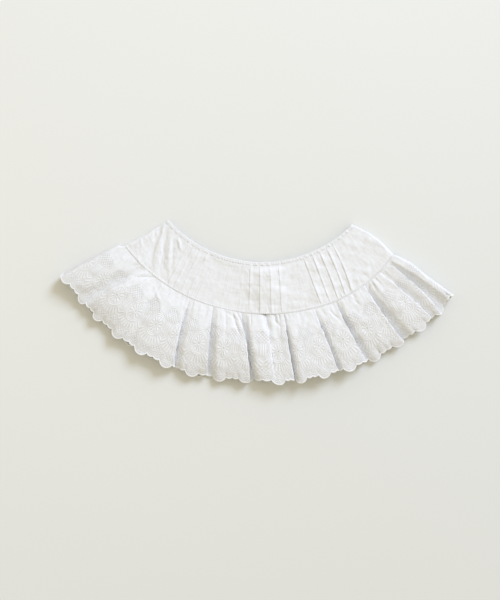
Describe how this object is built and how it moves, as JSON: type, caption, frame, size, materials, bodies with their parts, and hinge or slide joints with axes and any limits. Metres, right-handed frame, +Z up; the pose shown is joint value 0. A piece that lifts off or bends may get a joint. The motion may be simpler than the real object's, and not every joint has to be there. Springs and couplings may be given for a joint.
{
  "type": "lace collar",
  "caption": "Detachable white cotton collar laid flat: pin-tucked ring yoke with a gathered, scalloped embroidered ruffle, folded at both sides.",
  "frame": {"origin": "middle of the bounding box in plan, on the surface that the collar lies on", "axes": "+X from the one side fold to the other along the longest extent, +Y from the hem of the front towards the neck, +Z up, through the thickness"},
  "size_m": [0.3576, 0.1508, 0.015],
  "materials": {
    "lawn": "white cotton lawn, plain weave, matte",
    "binding": "white cotton binding, edge-stitched",
    "embroidered_cotton": "white cotton with white satin-stitch embroidery, scalloped edge",
    "button": "off-white, polished",
    "loop_thread": "white thread cord"
  },
  "bodies": {
    "root": {"yoke": "lawn", "neck_binding": "binding", "ruffle": "embroidered_cotton", "button": "button", "button_loop": "loop_thread"}
  },
  "joints": []
}
